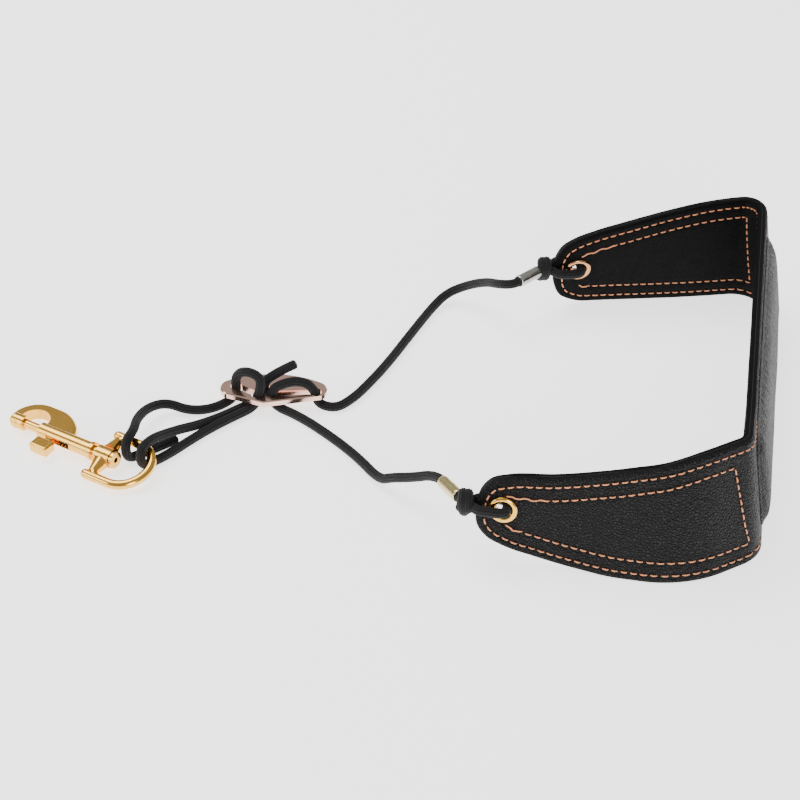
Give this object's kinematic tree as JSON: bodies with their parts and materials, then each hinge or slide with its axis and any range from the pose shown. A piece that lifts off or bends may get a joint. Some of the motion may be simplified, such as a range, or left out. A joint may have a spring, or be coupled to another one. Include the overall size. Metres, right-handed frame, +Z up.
{
  "type": "instrument neck strap",
  "caption": "Padded leather neck strap bent into a U, with a cord from each tip, a sliding adjuster plate, a swivel ring and a snap hook for holding a wind instrument.",
  "frame": {"origin": "centre of the bounding box's base, on the surface that the band stands on, measured without the cords", "axes": "+X from the hook towards the back of the neck, +Z up, +Y from the near arm of the band to the far one"},
  "size_m": [0.3199, 0.2046, 0.056],
  "materials": {
    "black_leather": "pebbled, satin",
    "inner_leather": "smooth, matte",
    "liner": "matte",
    "foam": "closed-cell foam, matte",
    "cord": "ribbed elastic braid",
    "gold": "polished gold plate",
    "old_gold": "polished antique gold plate",
    "pale_gold": "polished pale plate",
    "silver": "polished",
    "rose_gold": "polished rose-gold plate",
    "spring_steel": "drawn wire"
  },
  "bodies": {
    "strap": {"outer_leather": "black_leather", "bonding_liner": "liner", "inner_leather": "inner_leather", "cushion_cover": "black_leather", "cushion_foam": "foam", "near_eyelet": "gold", "near_eyelet_washer": "gold", "far_eyelet": "old_gold", "far_eyelet_washer": "old_gold", "near_ferrule": "pale_gold", "far_ferrule": "silver", "near_knot": "cord", "far_knot": "cord", "near_eyelet_loop": "cord", "far_eyelet_loop": "cord", "near_cord": "cord", "far_cord": "cord", "slack_strand": "cord", "band_strand": "cord"},
    "adjuster": {"slider_plate": "rose_gold", "left_loop": "cord", "right_loop": "cord", "free_end": "cord"},
    "ring": {"swivel_ring": "gold"},
    "hook": {"hook_body": "gold", "swivel_stud": "gold", "latch_spring": "spring_steel"},
    "latch": {"latch_bolt": "gold", "thumb_button": "gold"}
  },
  "joints": [
    {"name": "adjuster_slide", "type": "slide", "parent": "strap", "child": "adjuster", "axis": [0.9397, 0.342, 0], "range_m": [-0.008, 0.03], "deforming": ["near_cord", "far_cord", "slack_strand", "band_strand"]},
    {"name": "ring_tilt", "type": "hinge", "parent": "strap", "child": "ring", "pos_m": [-0.09552, -0.06045, 0.00698], "axis": [-0.9171, 0.3987, 0], "range_deg": [0, 90], "deforming": ["slack_strand", "band_strand"]},
    {"name": "hook_swivel", "type": "hinge", "parent": "ring", "child": "hook", "pos_m": [-0.113, -0.0643, 0.0046], "axis": [-0.9167, 0.3986, -0.0262], "continuous": true},
    {"name": "latch_slide", "type": "slide", "parent": "hook", "child": "latch", "axis": [0.9167, -0.3986, 0.0262], "range_m": [0, 0.008], "stiffness_N_per_m": 400, "springref_m": -0.003, "deforming": ["latch_spring"]}
  ]
}
